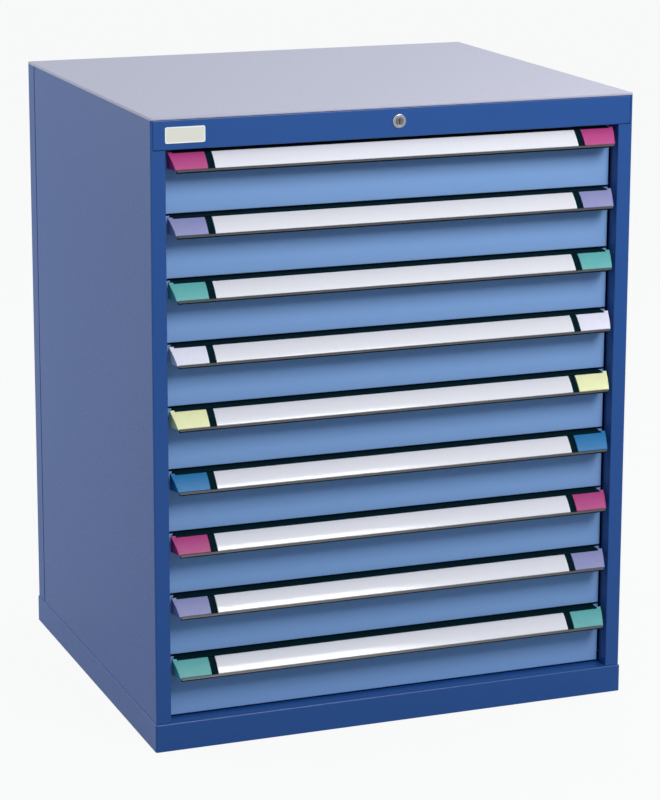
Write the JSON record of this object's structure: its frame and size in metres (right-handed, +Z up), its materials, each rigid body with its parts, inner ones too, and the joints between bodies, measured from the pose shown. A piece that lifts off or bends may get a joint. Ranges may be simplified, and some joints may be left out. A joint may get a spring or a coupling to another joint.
{
  "type": "industrial drawer cabinet",
  "caption": "Upright sheet-steel workshop cabinet with full-width roller drawers, sloping label handles with coloured end caps and a central lock.",
  "frame": {"origin": "middle of the footprint's bounding box on the floor, handles included", "axes": "+Z up, the drawers open towards -Y, +X to the right as seen from the front"},
  "size_m": [0.805, 0.7076, 1],
  "materials": {
    "top_paint": "fine-textured light grey powder coat",
    "housing_paint": "fine-textured blue powder coat",
    "drawer_paint": "fine-textured light blue powder coat",
    "zinc": "zinc-plated sheet",
    "dark_steel": "dark plated steel",
    "chrome": "polished",
    "handle_black": "black anodised extrusion",
    "label_strip": "smooth satin strip",
    "cap_magenta": "satin moulding",
    "cap_lavender": "satin moulding",
    "cap_green": "satin moulding",
    "cap_pearl": "satin moulding",
    "cap_yellow": "satin moulding",
    "cap_blue": "satin moulding"
  },
  "bodies": {
    "carcass": {"top_cover": "top_paint", "base_pan": "housing_paint", "left_side_panel": "housing_paint", "right_side_panel": "housing_paint", "back_panel": "housing_paint", "front_cross_rail": "housing_paint", "left_runner_frame": "zinc", "right_runner_frame": "zinc", "lock_barrel": "chrome", "locking_bar_guide_upper": "dark_steel", "locking_bar_guide_lower": "dark_steel"},
    "lock": {"lock_plug": "chrome", "lock_cam": "dark_steel"},
    "locking_bar": {"lock_cross_bar": "dark_steel", "locking_bar": "dark_steel"},
    "drawer_1": {"drawer_1_tray": "drawer_paint", "drawer_1_handle": "handle_black", "drawer_1_label": "label_strip", "drawer_1_cap_left": "cap_magenta", "drawer_1_cap_right": "cap_magenta"},
    "drawer_2": {"drawer_2_tray": "drawer_paint", "drawer_2_handle": "handle_black", "drawer_2_label": "label_strip", "drawer_2_cap_left": "cap_lavender", "drawer_2_cap_right": "cap_lavender"},
    "drawer_3": {"drawer_3_tray": "drawer_paint", "drawer_3_handle": "handle_black", "drawer_3_label": "label_strip", "drawer_3_cap_left": "cap_green", "drawer_3_cap_right": "cap_green"},
    "drawer_4": {"drawer_4_tray": "drawer_paint", "drawer_4_handle": "handle_black", "drawer_4_label": "label_strip", "drawer_4_cap_left": "cap_pearl", "drawer_4_cap_right": "cap_pearl"},
    "drawer_5": {"drawer_5_tray": "drawer_paint", "drawer_5_handle": "handle_black", "drawer_5_label": "label_strip", "drawer_5_cap_left": "cap_yellow", "drawer_5_cap_right": "cap_yellow"},
    "drawer_6": {"drawer_6_tray": "drawer_paint", "drawer_6_handle": "handle_black", "drawer_6_label": "label_strip", "drawer_6_cap_left": "cap_blue", "drawer_6_cap_right": "cap_blue"},
    "drawer_7": {"drawer_7_tray": "drawer_paint", "drawer_7_handle": "handle_black", "drawer_7_label": "label_strip", "drawer_7_cap_left": "cap_magenta", "drawer_7_cap_right": "cap_magenta"},
    "drawer_8": {"drawer_8_tray": "drawer_paint", "drawer_8_handle": "handle_black", "drawer_8_label": "label_strip", "drawer_8_cap_left": "cap_lavender", "drawer_8_cap_right": "cap_lavender"},
    "drawer_9": {"drawer_9_tray": "drawer_paint", "drawer_9_handle": "handle_black", "drawer_9_label": "label_strip", "drawer_9_cap_left": "cap_green", "drawer_9_cap_right": "cap_green"}
  },
  "joints": [
    {"name": "lock_turn", "type": "hinge", "parent": "carcass", "child": "lock", "pos_m": [0, -0.3397, 0.975], "axis": [0, 1, 0], "range_deg": [0, 90]},
    {"name": "locking_bar_slide", "type": "slide", "parent": "carcass", "child": "locking_bar", "axis": [1, 0, 0], "range_m": [0, 0.01131]},
    {"name": "drawer_1_slide", "type": "slide", "parent": "carcass", "child": "drawer_1", "axis": [0, -1, 0], "range_m": [0, 0.5]},
    {"name": "drawer_2_slide", "type": "slide", "parent": "carcass", "child": "drawer_2", "axis": [0, -1, 0], "range_m": [0, 0.5]},
    {"name": "drawer_3_slide", "type": "slide", "parent": "carcass", "child": "drawer_3", "axis": [0, -1, 0], "range_m": [0, 0.5]},
    {"name": "drawer_4_slide", "type": "slide", "parent": "carcass", "child": "drawer_4", "axis": [0, -1, 0], "range_m": [0, 0.5]},
    {"name": "drawer_5_slide", "type": "slide", "parent": "carcass", "child": "drawer_5", "axis": [0, -1, 0], "range_m": [0, 0.5]},
    {"name": "drawer_6_slide", "type": "slide", "parent": "carcass", "child": "drawer_6", "axis": [0, -1, 0], "range_m": [0, 0.5]},
    {"name": "drawer_7_slide", "type": "slide", "parent": "carcass", "child": "drawer_7", "axis": [0, -1, 0], "range_m": [0, 0.5]},
    {"name": "drawer_8_slide", "type": "slide", "parent": "carcass", "child": "drawer_8", "axis": [0, -1, 0], "range_m": [0, 0.5]},
    {"name": "drawer_9_slide", "type": "slide", "parent": "carcass", "child": "drawer_9", "axis": [0, -1, 0], "range_m": [0, 0.5]}
  ],
  "couplings": [
    {"joint": "lock_turn", "follows": "locking_bar_slide", "rad_per_m": 138.84}
  ]
}
